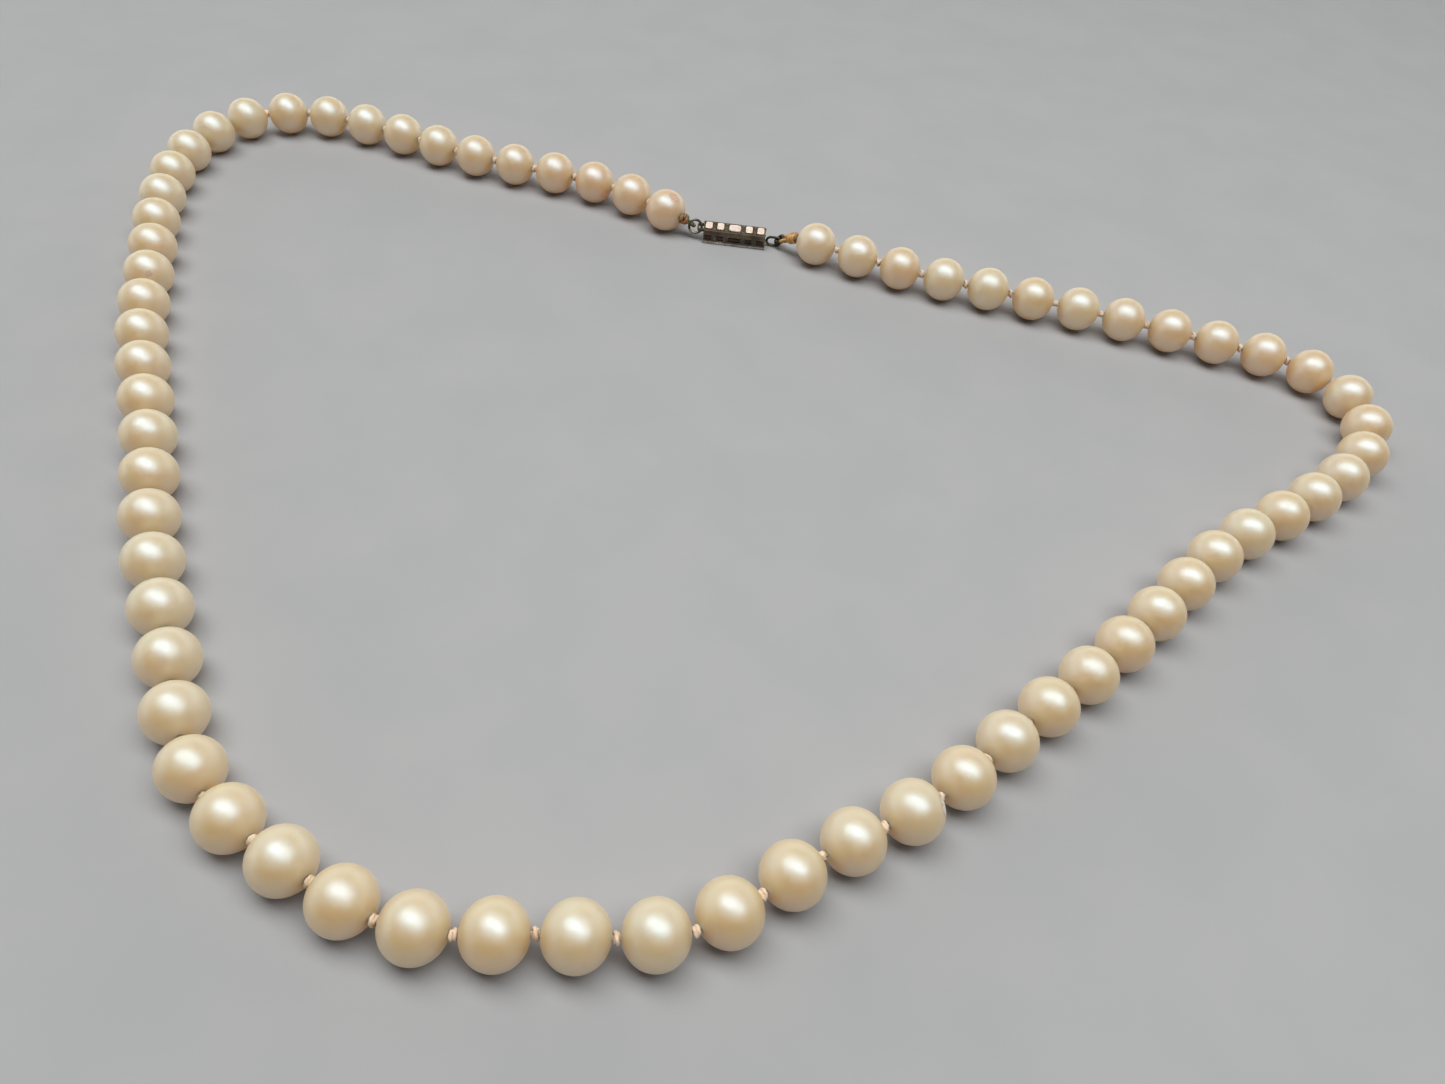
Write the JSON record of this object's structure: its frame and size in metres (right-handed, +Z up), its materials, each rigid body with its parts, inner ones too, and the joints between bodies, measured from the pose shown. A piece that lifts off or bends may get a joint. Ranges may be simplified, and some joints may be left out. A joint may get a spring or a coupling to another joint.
{
  "type": "pearl necklace",
  "caption": "Single strand of round pearls knotted on silk, laid as an open loop and closed by a stone-set box clasp with a spring hook, wire eye and jump ring.",
  "frame": {"origin": "on the table, under the middle of the whole necklace as it lies", "axes": "+Z up, +X along the clasp from its ring to its hook, +Y towards the back of the neck"},
  "size_m": [0.23, 0.1776, 0.008],
  "materials": {
    "pearl": "satin nacre, cream",
    "silk": "twisted silk",
    "dark_metal": "oxidised and worn",
    "bright_metal": "worn silver colour",
    "stone": "step-cut paste",
    "gimp": "coiled wire, tarnished with verdigris"
  },
  "bodies": {
    "back": {"back_pearls": "pearl", "back_silk": "silk", "corner_pearls": "pearl", "corner_silk": "silk", "clasp_base_plate": "bright_metal", "clasp_gallery": "dark_metal", "stone_rail": "dark_metal", "small_stones": "stone", "centre_stone": "stone", "ring_lug": "dark_metal", "left_gimp": "gimp"},
    "strip_1": {"left_pearls_1": "pearl", "left_silk_1": "silk", "right_pearls_1": "pearl", "right_silk_1": "silk"},
    "strip_2": {"left_pearls_2": "pearl", "left_silk_2": "silk", "right_pearls_2": "pearl", "right_silk_2": "silk"},
    "strip_3": {"left_pearls_3": "pearl", "left_silk_3": "silk", "right_pearls_3": "pearl", "right_silk_3": "silk"},
    "strip_4": {"left_pearls_4": "pearl", "left_silk_4": "silk", "right_pearls_4": "pearl", "right_silk_4": "silk"},
    "strip_5": {"left_pearls_5": "pearl", "left_silk_5": "silk", "right_pearls_5": "pearl", "right_silk_5": "silk"},
    "strip_6": {"left_pearls_6": "pearl", "left_silk_6": "silk", "right_pearls_6": "pearl", "right_silk_6": "silk"},
    "front": {"front_pearls": "pearl", "front_silk": "silk"},
    "arm_a": {"arm_a_pearls": "pearl", "arm_a_silk": "silk"},
    "link": {"link_pearl": "pearl", "link_silk": "silk"},
    "arm_b": {"arm_b_pearls": "pearl", "arm_b_silk": "silk"},
    "hook_end": {"end_pearl": "pearl", "end_silk": "silk", "hook_tongue": "bright_metal", "hook_spring": "bright_metal", "hook_eye": "dark_metal", "right_gimp": "gimp"},
    "ring": {"jump_ring": "dark_metal"}
  },
  "joints": [
    {"name": "fold_1", "type": "hinge", "parent": "back", "child": "strip_1", "pos_m": [-0.09974, 0.01897, 0.004], "axis": [-0.9999, 0.0122, 0], "range_deg": [-35, 35]},
    {"name": "fold_2", "type": "hinge", "parent": "strip_1", "child": "strip_2", "pos_m": [-0.09347, 0.003, 0.004], "axis": [-1, -0.0023, 0], "range_deg": [-35, 35]},
    {"name": "fold_3", "type": "hinge", "parent": "strip_2", "child": "strip_3", "pos_m": [-0.08594, -0.01244, 0.004], "axis": [-1, -0.0006, 0], "range_deg": [-35, 35]},
    {"name": "fold_4", "type": "hinge", "parent": "strip_3", "child": "strip_4", "pos_m": [-0.07879, -0.02806, 0.004], "axis": [-0.9998, -0.0202, 0], "range_deg": [-35, 35]},
    {"name": "fold_5", "type": "hinge", "parent": "strip_4", "child": "strip_5", "pos_m": [-0.07127, -0.04348, 0.004], "axis": [-1, 0.0026, 0], "range_deg": [-35, 35]},
    {"name": "fold_6", "type": "hinge", "parent": "strip_5", "child": "strip_6", "pos_m": [-0.06299, -0.05853, 0.004], "axis": [-0.9994, 0.0357, 0], "range_deg": [-35, 35]},
    {"name": "fold_7", "type": "hinge", "parent": "strip_6", "child": "front", "pos_m": [-0.05338, -0.07261, 0.004], "axis": [-0.9998, -0.0177, 0], "range_deg": [-35, 35]},
    {"name": "open_a", "type": "hinge", "parent": "back", "child": "arm_a", "pos_m": [0.10885, 0.03262, 0.004], "axis": [0, 0, -1], "range_deg": [0, 24]},
    {"name": "open_b", "type": "hinge", "parent": "arm_a", "child": "link", "pos_m": [0.06848, 0.04552, 0.004], "axis": [0, 0, -1], "range_deg": [-24, 0]},
    {"name": "open_c", "type": "hinge", "parent": "link", "child": "arm_b", "pos_m": [0.06007, 0.04726, 0.004], "axis": [0, 0, -1], "range_deg": [-21.2, 0]},
    {"name": "open_d", "type": "hinge", "parent": "arm_b", "child": "hook_end", "pos_m": [0.01825, 0.05671, 0.004], "axis": [0, 0, -1], "range_deg": [0, 21.2], "deforming": ["hook_spring"]},
    {"name": "ring_swing", "type": "hinge", "parent": "back", "child": "ring", "pos_m": [-0.00858, 0.06183, 0.0024], "axis": [0.9735, -0.1178, -0.1961], "range_deg": [-18, 18]}
  ],
  "couplings": [
    {"joint": "open_b", "follows": "open_a", "ratio": -1},
    {"joint": "open_c", "follows": "open_a", "ratio": -0.88},
    {"joint": "open_d", "follows": "open_a", "ratio": 0.88}
  ]
}
